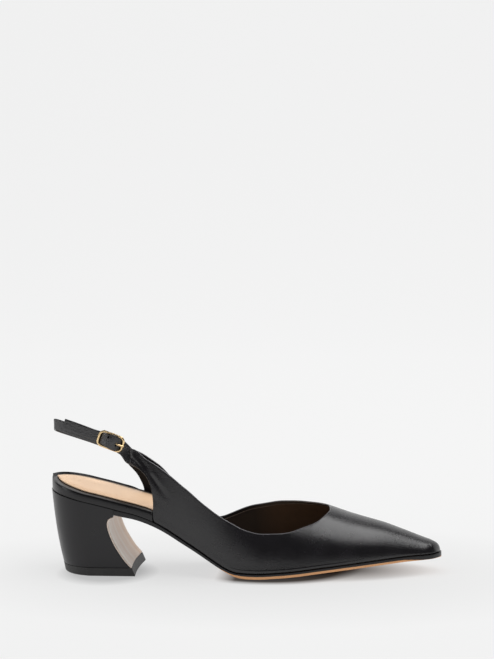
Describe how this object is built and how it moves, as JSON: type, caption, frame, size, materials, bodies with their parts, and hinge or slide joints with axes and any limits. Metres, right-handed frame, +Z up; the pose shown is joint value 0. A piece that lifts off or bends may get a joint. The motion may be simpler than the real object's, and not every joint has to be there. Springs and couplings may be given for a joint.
{
  "type": "slingback pump",
  "caption": "Right slingback pump with a pointed toe, closed vamp, open waist and heel, curved block heel and a buckled strap round the back.",
  "frame": {"origin": "centre of the heel lift's underside, on the floor", "axes": "+X towards the toe, +Y towards the medial (inner) side, +Z up"},
  "size_m": [0.2585, 0.0746, 0.1029],
  "materials": {
    "black_sole": "satin",
    "heel_leather": "satin",
    "champagne": "metallic, satin",
    "lift_rubber": "matte",
    "rim_leather": "satin",
    "tan_lining": "matte",
    "black_nappa": "soft gloss",
    "strap_leather": "satin",
    "tail_leather": "satin",
    "gold": "polished, gold plated",
    "gold_wire": "polished, gold plated"
  },
  "bodies": {
    "root": {"outsole": "black_sole", "heel_block": "heel_leather", "heel_breast_cover": "champagne", "top_lift": "lift_rubber", "footbed": "rim_leather", "insole_sock": "tan_lining", "upper": "black_nappa", "sling_strap": "strap_leather", "buckle_strap": "tail_leather", "buckle_frame": "gold", "buckle_prong": "gold_wire"}
  },
  "joints": []
}
